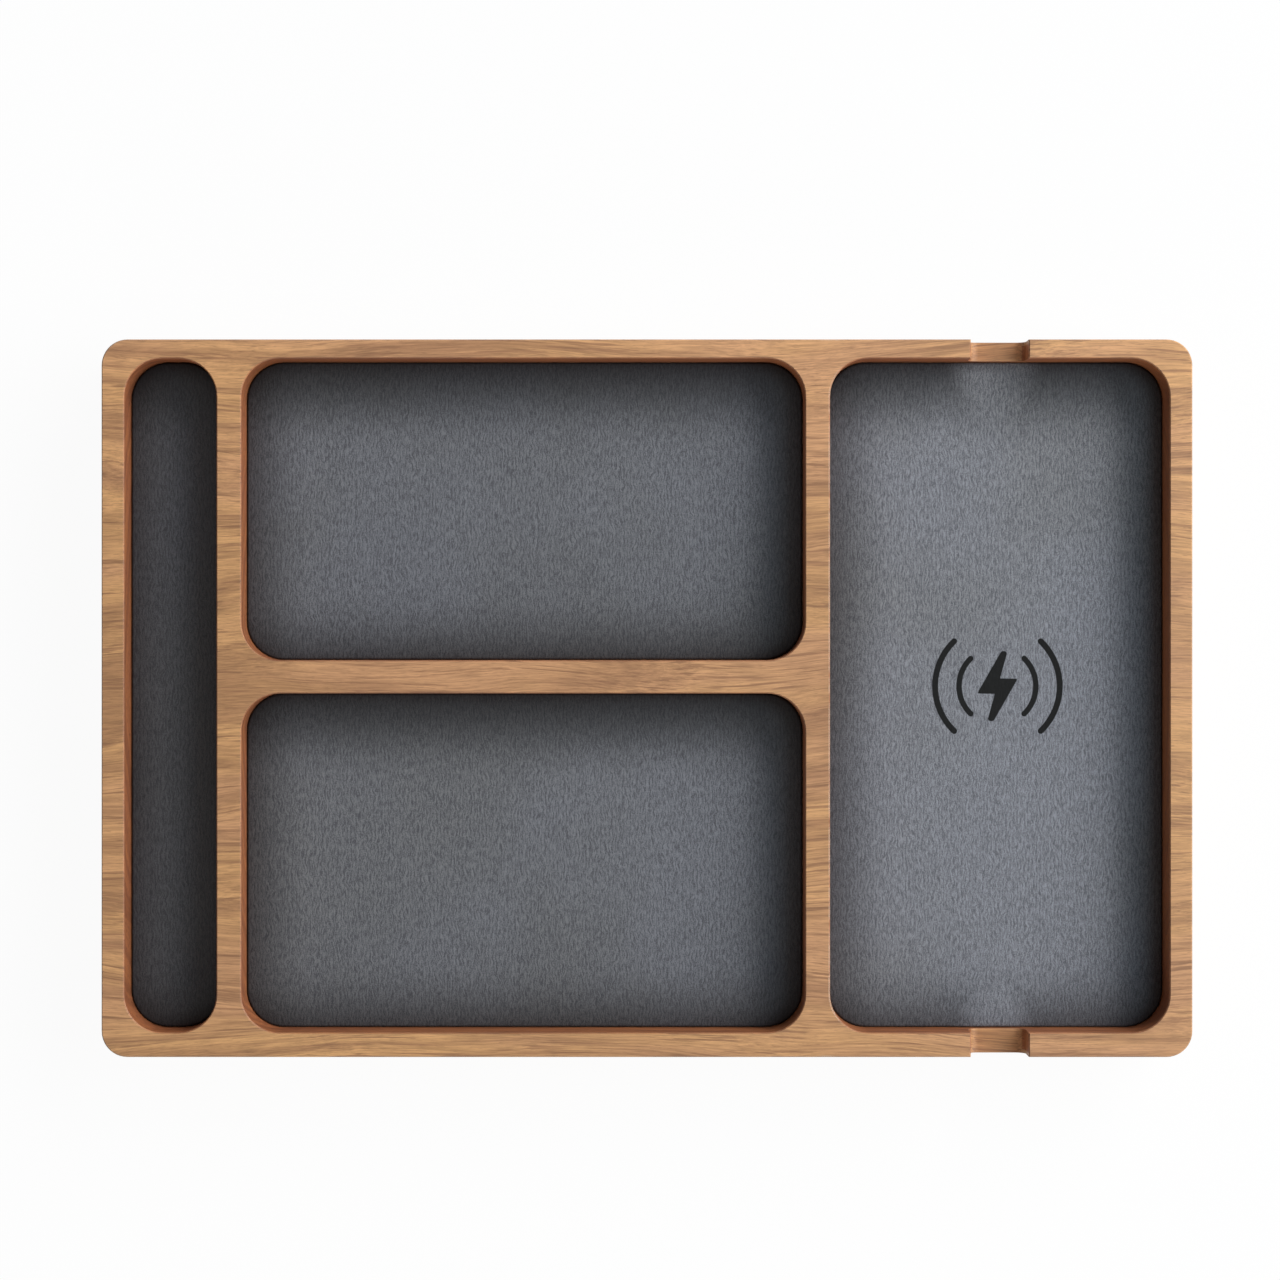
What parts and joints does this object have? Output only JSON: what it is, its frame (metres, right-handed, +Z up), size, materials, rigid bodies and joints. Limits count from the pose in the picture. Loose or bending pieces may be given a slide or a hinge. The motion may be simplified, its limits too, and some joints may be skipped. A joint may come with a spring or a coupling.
{
  "type": "valet tray",
  "caption": "Wooden valet tray with leather-lined pockets, a pen slot and a charging pocket with finger notches and a phone charger underneath.",
  "frame": {"origin": "centre of the footprint, at the level of the feet's undersides", "axes": "+X along the length towards the charging pocket, +Y to the rear edge that holds the charging port, +Z up out of the pockets"},
  "size_m": [0.304, 0.2, 0.0265],
  "materials": {
    "oak": "satin oiled, grain along the tray's length",
    "lining_leather": "matte grained, charcoal",
    "sign_ink": "flat printed black",
    "lining_board": "raw grey board",
    "panel_board": "matte dark lacquered fibreboard",
    "foot_rubber": "matte",
    "screw_steel": "blackened",
    "carrier_plastic": "fine spark-eroded texture",
    "board_laminate": "satin solder mask",
    "chip_plastic": "moulded",
    "inductor_powder": "pressed powder",
    "capacitor_ceramic": "fired, satin",
    "port_steel": "drawn, bright",
    "contact_plating": "gold plated",
    "ferrite": "sintered, matte",
    "coil_copper": "enamelled",
    "sensor_resin": "dipped"
  },
  "bodies": {
    "root": {"tray_body": "oak", "pen_lining_leather": "lining_leather", "rear_lining_leather": "lining_leather", "front_lining_leather": "lining_leather", "charging_lining_leather": "lining_leather", "pen_lining_board": "lining_board", "rear_lining_board": "lining_board", "front_lining_board": "lining_board", "charging_lining_board": "lining_board", "base_panel": "panel_board", "base_screws": "screw_steel", "foot_front_left": "foot_rubber", "foot_front_right": "foot_rubber", "foot_rear_left": "foot_rubber", "foot_rear_right": "foot_rubber", "charger_carrier": "carrier_plastic", "carrier_screws": "screw_steel", "circuit_board": "board_laminate", "board_screws": "screw_steel", "controller_chip": "chip_plastic", "bridge_transistors": "chip_plastic", "power_inductor": "inductor_powder", "resonant_capacitors": "capacitor_ceramic", "port_shell": "port_steel", "port_tongue": "chip_plastic", "port_contacts": "contact_plating", "ferrite_plate": "ferrite", "charging_coil": "coil_copper", "temperature_sensor": "sensor_resin", "sensor_leads": "coil_copper"}
  },
  "joints": []
}
